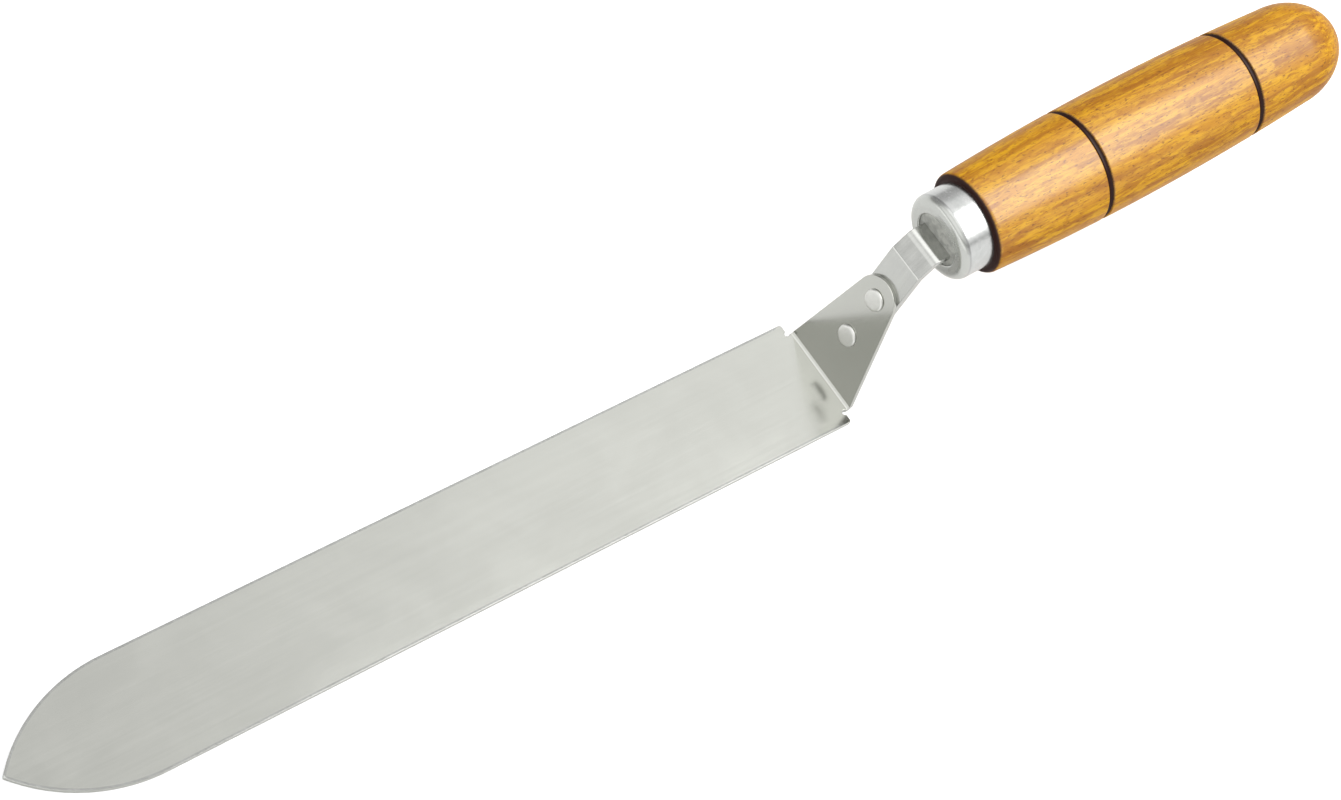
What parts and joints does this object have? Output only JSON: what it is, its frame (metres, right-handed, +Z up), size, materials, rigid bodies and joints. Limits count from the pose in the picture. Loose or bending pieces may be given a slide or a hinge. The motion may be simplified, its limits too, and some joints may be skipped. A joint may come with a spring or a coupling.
{
  "type": "palette knife",
  "caption": "Long flat steel blade with a rounded tip, bent up at its heel into a riveted cranked tang that carries a turned wooden handle.",
  "frame": {"origin": "on the surface that the knife lies on, under the middle of its length and width", "axes": "+X from the blade's tip towards the handle's butt, +Y across the blade, +Z up, away from the blade's underside"},
  "size_m": [0.4139, 0.035, 0.0787],
  "materials": {
    "blade_steel": "satin stainless steel sheet, finely brushed along the blade",
    "tang_steel": "satin stainless steel strip, brighter on the bends",
    "rivet_steel": "hammered stainless steel heads, lightly polished",
    "ferrule_aluminium": "polished drawn aluminium",
    "handle_wood": "amber-brown turned wood under clear lacquer, with scorched grooves and front shoulder",
    "bedding_compound": "grey set filler, rough as poured"
  },
  "bodies": {
    "root": {"blade": "blade_steel", "tang": "tang_steel", "lower_rivet": "rivet_steel", "upper_rivet": "rivet_steel", "ferrule": "ferrule_aluminium", "handle": "handle_wood", "tang_bedding": "bedding_compound"}
  },
  "joints": []
}
